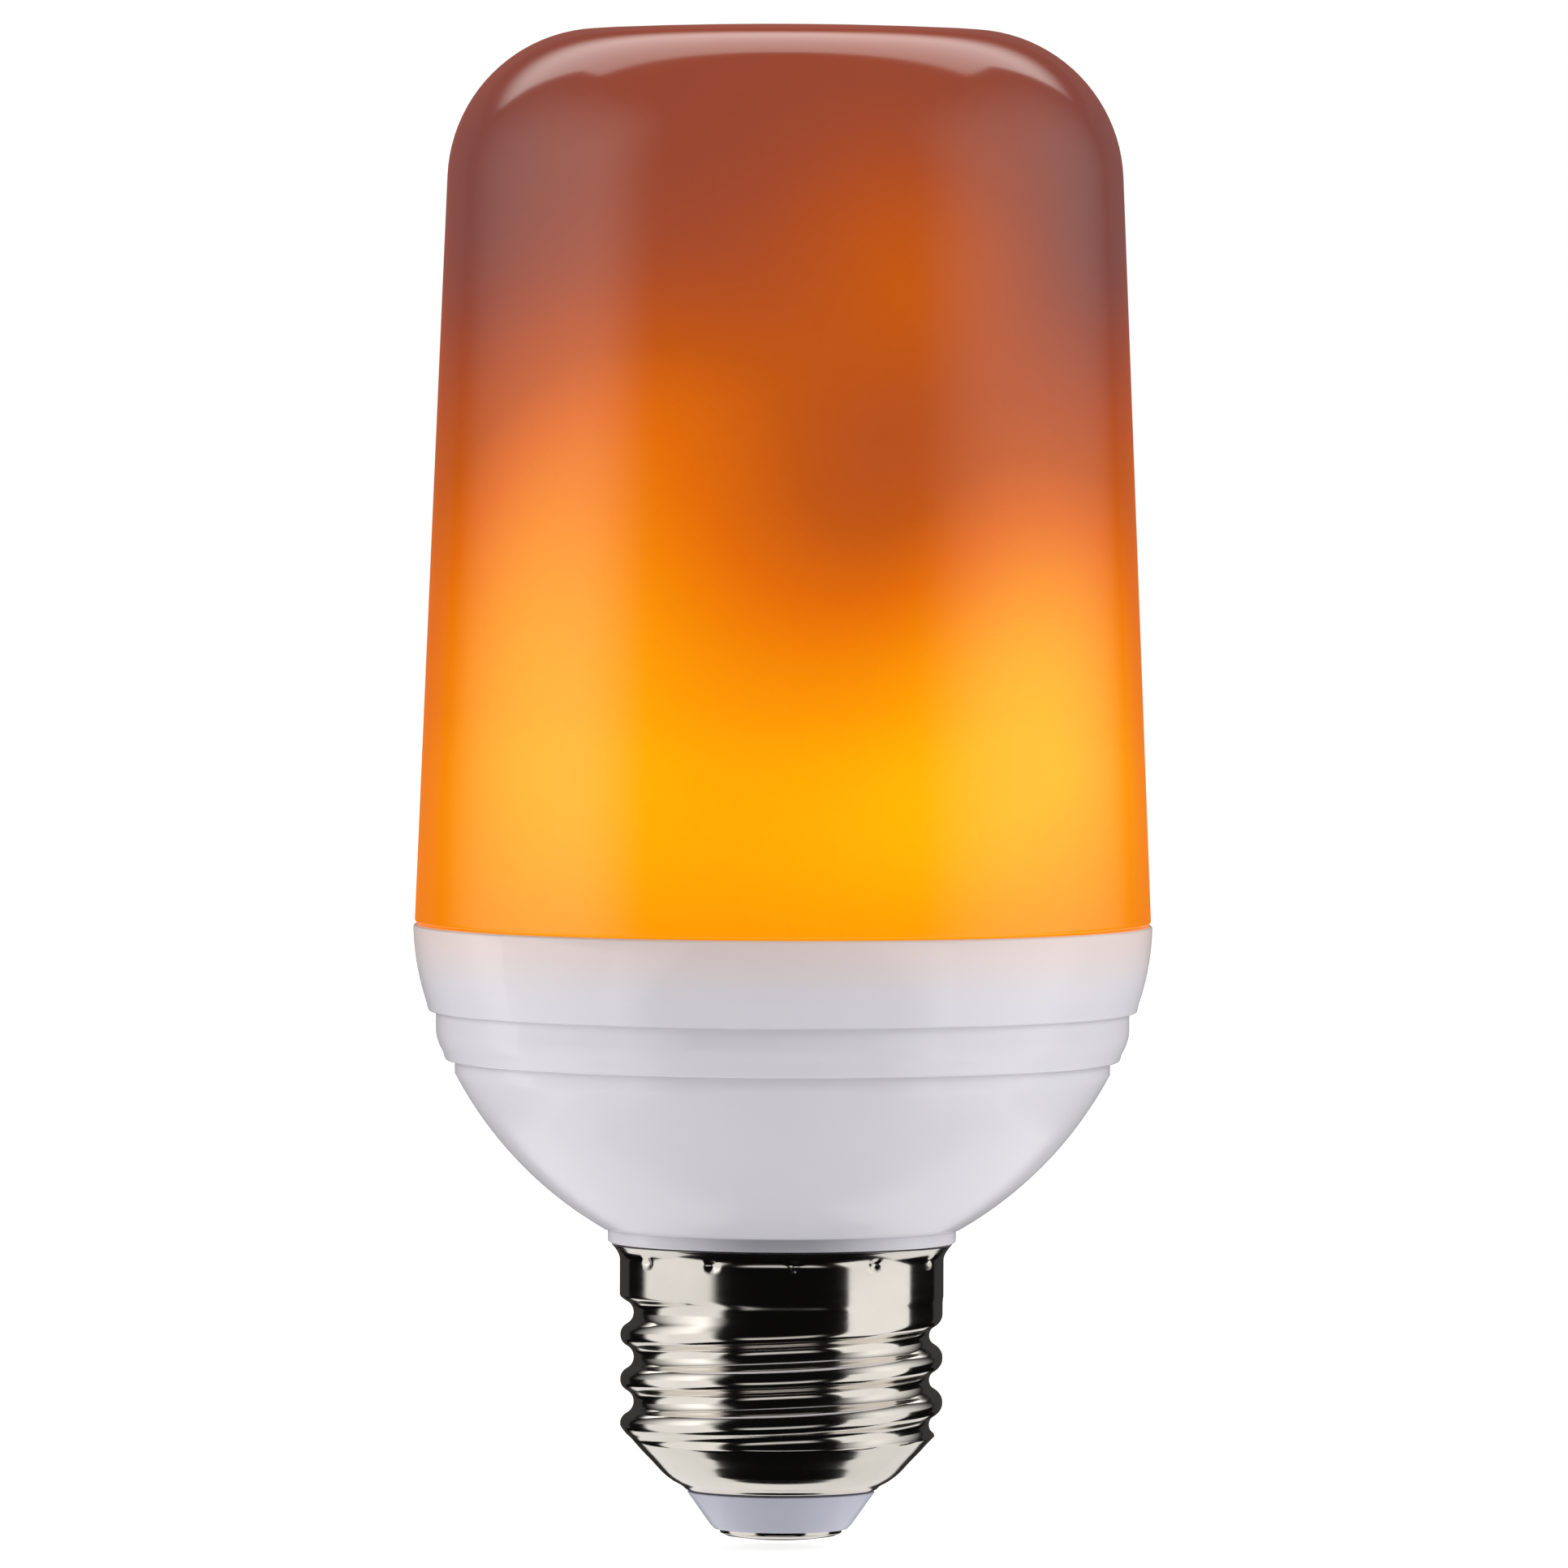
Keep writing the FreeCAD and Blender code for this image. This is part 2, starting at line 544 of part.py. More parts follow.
# Driver board on the housing's pegs
driver = new_body("driver_board")
disc = ring_sketch(driver, "disc_plan", "board_r", "board_z")
raised(driver, "disc", disc, "board_thick")
peg_holes = ring_sketch(
    driver, "peg_hole_plan", "peg_hole_r", "board_z", "post_ring_r", "post_turn", THIRDS
)
sunk(driver, "peg_holes", peg_holes)


def set_down(part, name):
    """Put a part at its place on the driver board."""
    for way in ("x", "y"):
        part.setExpression(f"Placement.Base.{way}", f"Sizes.{name}_{way}")


# Filter inductor: drum with a wound waist
choke = turned("filter_inductor", [
    ("0", "parts_z"),
    ("choke_r", "parts_z"),
    ("choke_r", "parts_z + choke_rim"),
    ("choke_r - choke_wind", "parts_z + choke_rim"),
    ("choke_r - choke_wind", "parts_z + choke_len - choke_rim"),
    ("choke_r", "parts_z + choke_len - choke_rim"),
    ("choke_r", "parts_z + choke_len"),
    ("0", "parts_z + choke_len"),
])
set_down(choke, "choke")

# Smoothing capacitor: upright can with a beaded foot
can = turned("smoothing_capacitor", [
    ("0", "parts_z"),
    ("can_r", "parts_z"),
    ("can_r", "parts_z + 3 * can_bead"),
    ("can_r - can_bead", "parts_z + 5 * can_bead"),
    ("can_r", "parts_z + 7 * can_bead"),
    ("can_r", "parts_z + can_len"),
    ("0", "parts_z + can_len"),
])
set_down(can, "can")

# Box parts standing on the driver board
for label, name in (("bridge_rectifier", "bridge"), ("control_chip", "chip")):
    box = doc.addObject("Part::Box", label)
    box.Label = label
    for field, what in (("Length", "long"), ("Width", "wide"), ("Height", "tall")):
        box.setExpression(field, f"Sizes.{name}_{what}")
    set_down(box, name)
    box.setExpression("Placement.Base.z", "Sizes.parts_z")
doc.recompute()


def fixed(label, shape, place=None):
    part = doc.addObject("Part::Feature", label)
    part.Label = label
    part.Shape = shape
    if place:
        part.Placement = place


def wire_shape(points, bend, radius):
    """A lead along straight runs joined by tangent arcs."""
    edges = []
    start = points[0]
    for before, corner, after in zip(points, points[1:], points[2:]):
        a, b = (before - corner).normalize(), (after - corner).normalize()
        half_turn = (math.pi - a.getAngle(b)) / 2
        reach = bend * math.tan(half_turn)
        p, q = corner + a * reach, corner + b * reach
        middle = corner + (a + b).normalize() * (bend / math.cos(half_turn) - bend)
        edges += [Part.LineSegment(start, p).toShape(), Part.Arc(p, middle, q).toShape()]
        start = q
    edges.append(Part.LineSegment(start, points[-1]).toShape())
    ring = Part.Wire(Part.makeCircle(radius, points[0], points[1] - points[0]))
    return Part.Wire(edges).makePipeShell([ring], True, False)


def on_ring(radius, degrees, z):
    turn = math.radians(degrees)
    return V(size(radius) * math.cos(turn), size(radius) * math.sin(turn), z)


# Leads: live to the centre contact, neutral to the shell, two up to the light board
under = size("board_z")
above = under + size("board_thick")
bend, lead_r = size("neutral_bend"), size("lead_r")
fixed("live_lead", wire_shape([V(0, 0, under), V(0, 0, size("rivet_top_z"))], bend, lead_r))
corner = V(size("neutral_x"), 0, size("neutral_z"))
neutral = [V(corner.x, 0, under), corner, V(size("neutral_end_r"), 0, corner.z)]
fixed("neutral_lead", wire_shape(neutral, bend, lead_r))
for k, label in enumerate(("led_lead_live", "led_lead_return")):
    turn = size("lead_turn") + 360.0 / PAIR * k
    lead = [on_ring("lead_ring_r", turn, above),
            on_ring("lead_ring_r", turn, size("flex_low_z") + size("lead_lap"))]
    fixed(label, wire_shape(lead, bend, lead_r))

# Fusible resistor: lying body with two legs bent down to the board
body_z = above + size("resistor_r") + size("resistor_up")
reach = size("resistor_len") / 2
body = Part.makeCylinder(size("resistor_r"), 2 * reach, V(-reach, 0, body_z), V(1, 0, 0))
legs = []
for side in (-1, 1):
    knee = V(side * (reach + size("resistor_leg")), 0, body_z)
    foot, inner = V(knee.x, 0, above), V(side * (reach - size("resistor_leg")), 0, body_z)
    ring = Part.Wire(Part.makeCircle(size("leg_r"), foot))
    legs.append(Part.makePolygon([foot, knee, inner]).makePipeShell([ring], True, False, 1))
fixed("fusible_resistor", body.fuse(legs).removeSplitter(), FreeCAD.Placement(
    V(size("resistor_x"), size("resistor_in") - size("board_r"), 0),
    FreeCAD.Rotation(V(0, 0, 1), size("resistor_turn")),
))

# Core screws: plain pan heads on their shanks
screws = []
for k in range(THIRDS):
    seat = on_ring("screw_ring_r", size("screw_turn") + 360.0 / THIRDS * k, size("flange_top"))
    head = Part.makeCylinder(size("screw_head_r"), size("screw_head"), seat)
    shank = Part.makeCylinder(size("screw_r"), size("screw_len"), seat, V(0, 0, -1))
    screws.append(head.fuse(shank).removeSplitter())
fixed("core_screws", Part.makeCompound(screws))

# Light emitters: one node a row, each row a ring of separate packages
wide, tall, deep = size("led_wide"), size("led_tall"), size("led_deep")
for k in range(int(size("led_rows"))):
    ring = []
    for j in range(int(size("led_cols"))):
        package = Part.makeBox(deep, wide, tall)
        package.translate(V(size("flex_out_r") + size("solder"), -wide / 2, -tall / 2))
        package.rotate(V(0, 0, 0), V(0, 0, 1), 360.0 / size("led_cols") * (j + 0.5))
        ring.append(package)
    height = size("led_first_z") + k * size("led_pitch")
    fixed(f"led_row_{k + 1}", Part.makeCompound(ring),
          FreeCAD.Placement(V(0, 0, height), FreeCAD.Rotation()))


# Screw shell: drawn sheet with a rolled thread, blank and thread worked out apart
def groove_depth(turn, z, sharpen):
    """Depth of the rolled groove under the crest at this angle and height."""
    pitch, rho = size("pitch"), size("groove_rho")
    half = size("groove_deep") / 2
    along = (z - size("groove_z")) / pitch - turn / (2 * math.pi)
    lap = round(along)
    off = abs(along - lap) * pitch
    if off <= pitch / 4:
        depth = 2 * half - (rho - math.sqrt(rho ** 2 - off ** 2))
    else:
        depth = rho - math.sqrt(rho ** 2 - (pitch / 2 - off) ** 2)
    left = math.radians(size("groove_end")) - (turn + 2 * math.pi * lap)
    share = min(1.0, max(0.0, left / math.radians(size("groove_fade"))))
    return (half + (depth - half) * sharpen) * share * share * (3 - 2 * share)


def thread_plug(inset):
    """Solid inside the rolled surface, moved in; over the thread it stands clear of the skirt."""
    across, laps, degree = 32, 6, 3
    step = size("pitch") / laps
    widen = 3 / (2 + math.cos(2 * math.pi / across))
    sharpen = 3 / (2 + math.cos(2 * math.pi / laps))
    low, top, runout = size("shell_lip_z"), size("shell_top_z"), size("runout_z")
    levels = [low + step * k for k in (-2, 0.5, 2.8, 4.6)]
    while levels[-1] < runout + 2 * step:
        levels.append(levels[-1] + step)
    levels += [levels[-1] + (top + 2 * step - levels[-1]) * k / 4 for k in (1, 2, 3, 4)]
    poles = []
    for z in levels:
        share = min(1.0, max(0.0, (z - runout) / (2 * step)))
        out = size("thread_clear") * share * share * (3 - 2 * share)
        out += 2.0 * max(0.0, z - size("flare_z"))
        ring = []
        for i in range(across):
            turn = 2 * math.pi * i / across
            r = widen * (size("crest_r") - inset - groove_depth(turn, z, sharpen) + out)
            ring.append(V(r * math.cos(turn), r * math.sin(turn), z))
        poles.append(ring)
    v_knots = [float(k) for k in range(len(levels) - degree + 1)]
    v_mults = [degree + 1] + [1] * (len(v_knots) - 2) + [degree + 1]
    u_knots = [float(k) for k in range(across + 1)]
    columns = [[ring[i] for ring in poles] for i in range(across)]
    surface = Part.BSplineSurface()
    surface.buildFromPolesMultsKnots(
        columns, [1] * (across + 1), v_mults, u_knots, v_knots, True, False, degree, degree
    )
    side = surface.toShape()
    rims = [edge for edge in side.Edges if edge.BoundBox.ZLength < 0.01]
    skin = Part.makeShell([side] + [Part.Face(Part.Wire(edge)) for edge in rims])
    skin.sewShape()
    return Part.Solid(skin)


# Drawn cone of the shell: rise over the lip, and how far inside the skirt in parts of lip_in
CONE = [(0.0, 1.0), (0.3, 0.950), (0.7, 0.811), (1.1, 0.707), (1.5, 0.627), (2.3, 0.492),
        (3.1, 0.347), (3.9, 0.213), (4.5, 0.102), (5.2, 0.0)]


def turned_blank(inset):
    """Cone, skirt and flared mouth turned as one, moved in by the sheet's thickness."""
    low, r = size("shell_lip_z"), size("shell_r") - inset
    line = [V(size("shell_r") - size("lip_in") * share - 1.4 * inset, 0, low + rise)
            for rise, share in CONE]
    if inset:
        line.insert(0, line[0] - V(0.7, 0, 1) * size("lip_open"))
    cone = Part.BSplineCurve()
    cone.interpolate(line)
    bend, top, mouth = size("flare_z"), size("shell_top_z") + inset, size("shell_mouth_r") - inset
    foot = V(r, 0, line[-1].z + inset)
    edges = [cone.toShape()]
    if inset:
        edges.append(Part.LineSegment(line[-1], foot).toShape())
    flare = V(r + (mouth - r) * 0.3, 0, bend + (top - bend) * 0.52)
    corners = [V(mouth, 0, top), V(0, 0, top), V(0, 0, line[0].z), line[0]]
    edges += [Part.LineSegment(foot, V(r, 0, bend)).toShape(),
              Part.Arc(V(r, 0, bend), flare, corners[0]).toShape()]
    edges += [Part.LineSegment(a, b).toShape() for a, b in zip(corners, corners[1:])]
    return Part.Face(Part.Wire(edges)).revolve(V(0, 0, 0), V(0, 0, 1), 360)


wall = size("shell_wall")
outside = turned_blank(0.0).common(thread_plug(0.0))
inside = turned_blank(wall).common(thread_plug(wall))
fixed("screw_shell", max(outside.cut(inside).Solids, key=lambda solid: solid.Volume))
doc.recompute()

# Check every object, then write one STEP file a node
for obj in doc.Objects:
    if "Invalid" in obj.State or "Error" in obj.State:
        raise RuntimeError(f"{obj.Label} did not build: {obj.State}")
os.makedirs("parts", exist_ok=True)
for obj in doc.Objects:
    if obj.TypeId in ("PartDesign::Body", "Part::Feature", "Part::Box"):
        if obj.Shape.isNull() or not obj.Shape.isValid() or not obj.Shape.Solids:
            raise RuntimeError(f"{obj.Label} has no valid solid")
        obj.Shape.exportStep(f"parts/{obj.Label}.step")
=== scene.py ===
import bpy
import json
import math
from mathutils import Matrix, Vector


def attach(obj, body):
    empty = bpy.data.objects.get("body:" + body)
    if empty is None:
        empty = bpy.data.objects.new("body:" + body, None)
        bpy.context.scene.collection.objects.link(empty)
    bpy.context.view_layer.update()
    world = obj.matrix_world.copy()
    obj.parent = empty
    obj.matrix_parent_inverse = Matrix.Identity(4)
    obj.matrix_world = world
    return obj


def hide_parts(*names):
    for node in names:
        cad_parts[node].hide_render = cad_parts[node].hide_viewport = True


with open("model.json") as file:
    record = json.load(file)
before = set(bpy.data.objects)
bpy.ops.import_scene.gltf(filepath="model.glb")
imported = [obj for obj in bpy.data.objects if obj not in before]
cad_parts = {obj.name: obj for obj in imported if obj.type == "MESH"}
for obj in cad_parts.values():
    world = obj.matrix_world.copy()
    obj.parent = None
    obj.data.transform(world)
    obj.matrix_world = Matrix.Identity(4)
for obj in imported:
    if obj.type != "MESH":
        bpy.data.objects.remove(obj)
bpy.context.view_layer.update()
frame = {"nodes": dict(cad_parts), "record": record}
MM = 0.001
TAU = 2 * math.pi
BLACK, WHITE = (0, 0, 0, 1), (1, 1, 1, 1)


# Colours and materials

def linear(*rgb):
    """Linear colour of an 8-bit display colour."""
    out = []
    for c in rgb:
        c = c / 255
        out.append(c / 12.92 if c <= 0.04045 else ((c + 0.055) / 1.055) ** 2.4)
    return (*out, 1.0)


class Nodes:
    """Short ways to build a node material."""

    def __init__(self, name):
        self.mat = bpy.data.materials.new(name)
        self.mat.use_nodes = True
        self.tree = self.mat.node_tree
        self.bsdf = self.tree.nodes["Principled BSDF"]

    def add(self, kind, **values):
        node = self.tree.nodes.new(kind)
        for key, value in values.items():
            setattr(node, key, value)
        return node

    def feed(self, value, socket):
        """Wire another node's output to the socket, or set the socket to a plain value."""
        if isinstance(value, bpy.types.NodeSocket):
            self.tree.links.new(value, socket)
        else:
            socket.default_value = value

    def set(self, **sockets):
        """Feed the shader's own sockets, named with underscores."""
        for key, value in sockets.items():
            self.feed(value, self.bsdf.inputs[key.replace("_", " ")])

    def math(self, operation, *values):
        node = self.add("ShaderNodeMath", operation=operation)
        for value, socket in zip(values, node.inputs):
            self.feed(value, socket)
        return node.outputs[0]

    def place(self):
        return self.add("ShaderNodeTexCoord").outputs["Object"]

    def xyz(self):
        node = self.add("ShaderNodeSeparateXYZ")
        self.feed(self.place(), node.inputs[0])
        return node.outputs

    def from_axis(self, x, y):
        """Distance from the lamp's axis."""
        return self.math("SQRT", self.math("ADD", self.math("MULTIPLY", x, x), self.math("MULTIPLY", y, y)))

    def noise(self, scale, detail, stretch=None):
        node = self.add("ShaderNodeTexNoise")
        node.inputs["Scale"].default_value = scale
        node.inputs["Detail"].default_value = detail
        spot = self.place()
        if stretch:
            mapping = self.add("ShaderNodeMapping")
            mapping.inputs["Scale"].default_value = stretch
            self.feed(spot, mapping.inputs[0])
            spot = mapping.outputs[0]
        self.feed(spot, node.inputs["Vector"])
        return node.outputs[0]

    def span(self, value, low, high, to_low, to_high, smooth=False):
        node = self.add("ShaderNodeMapRange", interpolation_type="SMOOTHSTEP" if smooth else "LINEAR")
        self.feed(value, node.inputs["Value"])
        for key, number in (("From Min", low), ("From Max", high),
                            ("To Min", to_low), ("To Max", to_high)):
            node.inputs[key].default_value = number
        return node.outputs[0]

    def varied(self, scale, detail, low, high):
        """A value that wanders between low and high over the surface."""
        return self.span(self.noise(scale, detail), 0.3, 0.7, low, high)

    def mix(self, factor, a, b, blend="MIX"):
        node = self.add("ShaderNodeMix", data_type="RGBA", blend_type=blend)
        self.feed(factor, node.inputs[0])
        self.feed(a, node.inputs[6])
        self.feed(b, node.inputs[7])
        return node.outputs[2]

    def shaded(self, colour, share):
        """The colour times a grey of this share."""
        return self.mix(1.0, colour, self.mix(share, BLACK, WHITE), "MULTIPLY")

    def ramp(self, value, stops):
        node = self.add("ShaderNodeValToRGB")
        line = node.color_ramp
        while len(line.elements) < len(stops):
            line.elements.new(0.5)
        for element, (at, colour) in zip(line.elements, stops):
            element.position = at
            element.color = colour
        self.feed(value, node.inputs[0])
        return node.outputs[0]

    def curve(self, value, stops):
        """A smooth curve through the stops, each with its place and height from 0 to 1."""
        node = self.add("ShaderNodeFloatCurve")
        points = node.mapping.curves[0].points
        while len(points) < len(stops):
            points.new(0.5, 0.5)
        for point, stop in zip(points, stops):
            point.location = stop
        node.mapping.update()
        self.feed(value, node.inputs["Value"])
        return node.outputs[0]

    def bump(self, height, strength, distance):
        node = self.add("ShaderNodeBump")
        node.inputs["Strength"].default_value = strength
        node.inputs["Distance"].default_value = distance
        self.feed(height, node.inputs["Height"])
        self.feed(node.outputs[0], self.bsdf.inputs["Normal"])


# Flame, set against the photograph: heat over the height in mm, then soft patches, each with
# azimuth (degrees, 0 in front, right positive), height in mm, half width, half height and gain
HEAT_LOW, HEAT_TALL = 45.0, 80.0
BASE_HEAT = [(50.0, 0.80), (60.0, 0.85), (68.0, 0.75), (76.0, 0.62), (86.0, 0.45), (96.0, 0.29),
             (106.0, 0.17), (123.0, 0.12)]
FRONT_FLAMES = [
    (-40, 82, 18, 18, 0.25),    # tall left tongue
    (-10, 93, 20, 6, 0.12),     # middle tongue
    (15, 84, 15, 12, -0.18),    # dark gap right of it
    (20, 103, 15, 7, 0.28),     # loose flame over the gap
    (20, 58, 20, 8, 0.10),      # hottest part of the bed
    (45, 72, 22, 9, 0.25),      # low right tongue
    (-60, 104, 24, 12, -0.20),  # darker patch, upper left
    (75, 104, 22, 12, -0.20),   # darker patch, upper right
    (-80, 60, 18, 12, -0.20),   # painted shade at the left side of the bed
    (85, 62, 15, 14, -0.20),    # painted shade at the right side of the bed
]
BACK_FLAMES = [
    (115, 84, 18, 14, 0.20), (140, 76, 16, 12, -0.12), (170, 92, 16, 12, 0.25),
    (-170, 62, 22, 8, 0.10), (-150, 82, 18, 14, 0.18), (-120, 94, 16, 12, 0.18),
]
FLAME_COLOURS = [
    (0.0, linear(124, 69, 65)), (0.12, linear(149, 69, 50)), (0.28, linear(176, 77, 34)),
    (0.42, linear(193, 86, 19)), (0.58, linear(226, 107, 6)), (0.70, linear(243, 130, 2)),
    (0.82, linear(255, 153, 1)), (0.92, linear(255, 172, 1)), (1.0, linear(255, 187, 2)),
]
WAVER_TURN, WAVER_UP = 0.20, 7.0    # how far noise moves the patches, in radians and mm


def diffuser_material():
    m = Nodes("frosted_diffuser")
    x, y, z = m.xyz()
    turn = m.math("ARCTAN2", x, m.math("MULTIPLY", y, -1.0))
    up = m.math("MULTIPLY", z, 1000.0)
    waver = m.math("SUBTRACT", m.noise(28.0, 3.0), 0.5)
    turn = m.math("ADD", turn, m.math("MULTIPLY", waver, WAVER_TURN))
    lift = m.math("SUBTRACT", m.noise(17.0, 2.0), 0.5)
    up = m.math("ADD", up, m.math("MULTIPLY", lift, WAVER_UP))
    share = m.span(up, HEAT_LOW, HEAT_LOW + HEAT_TALL, 0.0, 1.0)
    heat = m.curve(share, [((height - HEAT_LOW) / HEAT_TALL, warm) for height, warm in BASE_HEAT])
    for azimuth, height, wide, tall, gain in FRONT_FLAMES + BACK_FLAMES:
        away = m.math("SUBTRACT", m.math("COSINE", m.math("SUBTRACT", turn, math.radians(azimuth))), 1.0)
        across = m.math("DIVIDE", away, math.radians(wide) ** 2)
        rise = m.math("DIVIDE", m.math("SUBTRACT", up, float(height)), float(tall))
        along = m.math("MULTIPLY", m.math("MULTIPLY", rise, rise), -0.5)
        patch = m.math("EXPONENT", m.math("ADD", across, along))
        heat = m.math("MULTIPLY_ADD", patch, gain, heat)
    glow = m.shaded(m.ramp(heat, FLAME_COLOURS), m.varied(900.0, 2.0, 0.985, 1.015))
    m.set(Base_Color=(0.012, 0.005, 0.0015, 1), Emission_Color=glow, Emission_Strength=1.0,
          Roughness=m.varied(60.0, 3.0, 0.10, 0.16), IOR=1.47)
    m.bump(m.noise(260.0, 2.0), 0.05, 0.00008)
    return m.mat


# Housing's painted light and shade: the flame's light painted under the diffuser and painted shade on the
# collar
GLOW_FROM, GLOW_FULL, GLOW_SHARE = 0.0440, 0.0500, 0.75
COLLAR_FROM, COLLAR_FULL, COLLAR_SHARE = 0.02532, 0.02518, 0.75
GLOW_TONE, COLLAR_SHADE_TONE = (0.74, 0.60, 0.56, 1), (0.23, 0.225, 0.26, 1)


def plastic_material(name, colour, rough, lit=False):
    """Moulded plastic; the lit one has the flame's light painted at its rim and painted shade on its collar,
    mostly at front and back.
    """
    m = Nodes(name)
    tone = m.shaded(colour, m.varied(45.0, 4.0, 0.975, 1.02))
    if lit:
        x, y, z = m.xyz()
        # painted light: the flame's warm light tints the rim under the diffuser
        near = m.span(z, GLOW_FROM, GLOW_FULL, 0.0, 1.0, True)
        tone = m.mix(m.math("MULTIPLY", near, GLOW_SHARE), tone, GLOW_TONE)
        beside = m.math("DIVIDE", m.math("ABSOLUTE", x), m.from_axis(x, y))
        # painted shade on the collar, strongest at front and back, none at the sides
        collar_shade = m.math("MULTIPLY", m.span(z, COLLAR_FROM, COLLAR_FULL, 0.0, 1.0),
                      m.span(beside, 0.15, 0.95, COLLAR_SHARE, 0.0))
        tone = m.mix(collar_shade, tone, COLLAR_SHADE_TONE)
    m.set(Base_Color=tone, Roughness=m.varied(120.0, 4.0, rough * 0.85, rough * 1.2), IOR=1.49)
    m.bump(m.noise(1400.0, 2.0), 0.06, 0.00005)
    return m.mat


def metal_material(name, colour, rough, stretch=(6, 6, 900)):
    """Metal with fine drawn lines along the stretch and duller stains."""
    m = Nodes(name)
    lines = m.noise(1.0, 6.0, stretch)
    stain = m.span(m.noise(90.0, 5.0), 0.35, 0.75, 0.0, 1.0, True)
    darker = tuple(c * 0.86 for c in colour[:3]) + (1,)
    m.set(Base_Color=m.mix(stain, colour, darker), Metallic=1.0,
          Roughness=m.math("ADD", m.span(lines, 0.3, 0.7, rough * 0.8, rough * 1.25),
                           m.math("MULTIPLY", stain, 0.03)))
    m.bump(lines, 0.05, 0.00003)
    return m.mat


def board_material():
    m = Nodes("circuit_board")
    track = m.add("ShaderNodeTexBrick")
    track.inputs["Scale"].default_value = 260.0
    track.inputs["Mortar Size"].default_value = 0.018
    m.feed(m.place(), track.inputs["Vector"])
    tone = m.mix(m.span(track.outputs["Fac"], 0, 1, 0.0, 0.35), (0.72, 0.75, 0.72, 1),
                 (0.52, 0.56, 0.50, 1))
    m.set(Base_Color=tone, Roughness=m.varied(300.0, 4.0, 0.35, 0.5))
    return m.mat


def emitter_material():
    """White package with a yellow face, told apart by the distance from the axis."""
    m = Nodes("light_emitter")
    x, y, z = m.xyz()
    face = m.span(m.from_axis(x, y), 0.01840, 0.01850, 0.0, 1.0, True)
    tone = m.mix(face, (0.85, 0.85, 0.80, 1), (0.90, 0.62, 0.12, 1))
    m.set(Base_Color=tone, Emission_Color=(1.0, 0.55, 0.12, 1), Emission_Strength=0.6,
          Roughness=m.varied(500.0, 4.0, 0.25, 0.4))
    return m.mat


MATERIALS = {
    "frosted_diffuser": diffuser_material(),
    "white_plastic": plastic_material("white_plastic", (0.635, 0.625, 0.675, 1), 0.22, True),
    "insulator_plastic": plastic_material("insulator_plastic", (0.44, 0.45, 0.53, 1), 0.30),
    "core_plastic": plastic_material("core_plastic", (0.80, 0.80, 0.79, 1), 0.40),
    "black_resin": plastic_material("black_resin", (0.02, 0.02, 0.022, 1), 0.35),
    "green_lacquer": plastic_material("green_lacquer", (0.10, 0.25, 0.15, 1), 0.30),
    "capacitor_sleeve": plastic_material("capacitor_sleeve", (0.02, 0.02, 0.05, 1), 0.25),
    "nickel_plate": metal_material("nickel_plate", (0.80, 0.765, 0.72, 1), 0.11),
    "tinned_wire": metal_material("tinned_wire", (0.72, 0.72, 0.71, 1), 0.25),
    "zinc_screw": metal_material("zinc_screw", (0.62, 0.63, 0.66, 1), 0.28, (300, 300, 300)),
    "circuit_board": board_material(),
    "light_emitter": emitter_material(),
}


# Shapes: turned profiles in mm as (radius, height) or (radius, height, rounding)

def rounded_line(corners, steps):
    """The closed profile with its given corners rounded."""
    out = []
    count = len(corners)
    for i, corner in enumerate(corners):
        here = Vector(corner[:2])
        radius = corner[2] if len(corner) > 2 else 0.0
        if not radius:
            out.append(here)
            continue
        a = (Vector(corners[i - 1][:2]) - here).normalized()
        b = (Vector(corners[(i + 1) % count][:2]) - here).normalized()
        half = a.angle(b) / 2
        reach = radius / math.tan(half)
        centre = here + (a + b).normalized() * (radius / math.sin(half))
        start, end = here + a * reach - centre, here + b * reach - centre
        sweep = start.angle(end)
        side = 1 if start.cross(end) > 0 else -1
        for k in range(steps + 1):
            turn = side * sweep * k / steps
            c, s = math.cos(turn), math.sin(turn)
            out.append(centre + Vector((start.x * c - start.y * s, start.x * s + start.y * c)))
    return out


def arc(start, via, end, steps):
    """Points inside the arc through three points, without its ends."""
    (ax, ay), (bx, by), (cx, cy) = start, via, end
    d = 2 * (ax * (by - cy) + bx * (cy - ay) + cx * (ay - by))
    ux = ((ax ** 2 + ay ** 2) * (by - cy) + (bx ** 2 + by ** 2) * (cy - ay)
          + (cx ** 2 + cy ** 2) * (ay - by)) / d
    uy = ((ax ** 2 + ay ** 2) * (cx - bx) + (bx ** 2 + by ** 2) * (ax - cx)
          + (cx ** 2 + cy ** 2) * (bx - ax)) / d
    centre = Vector((ux, uy))
    a, c = Vector(start) - centre, Vector(end) - centre
    sweep = a.angle_signed(c)
    out = []
    for k in range(1, steps):
        turn = -sweep * k / steps
        co, si = math.cos(turn), math.sin(turn)
        out.append((ux + a.x * co - a.y * si, uy + a.x * si + a.y * co))
    return out


def polar(r, turn):
    return r * math.cos(turn), r * math.sin(turn)


def eased(share):
    """Soft step from 0 to 1, flat outside."""
    share = min(1.0, max(0.0, share))
    return share * share * (3 - 2 * share)


def finish_mesh(name, verts, faces, slot, node, sharp=32):
    """The piece in metres, smooth up to the sharp angle, in the place of the CAD node."""
    mesh = bpy.data.meshes.new(name)
    mesh.from_pydata([tuple(c * MM for c in v) for v in verts], [], faces)
    mesh.validate()
    mesh.shade_smooth()
    mesh.set_sharp_from_angle(angle=math.radians(sharp))
    piece = bpy.data.objects.new(name, mesh)
    bpy.context.scene.collection.objects.link(piece)
    mesh.materials.append(MATERIALS[slot])
    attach(piece, "root")
    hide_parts(node)


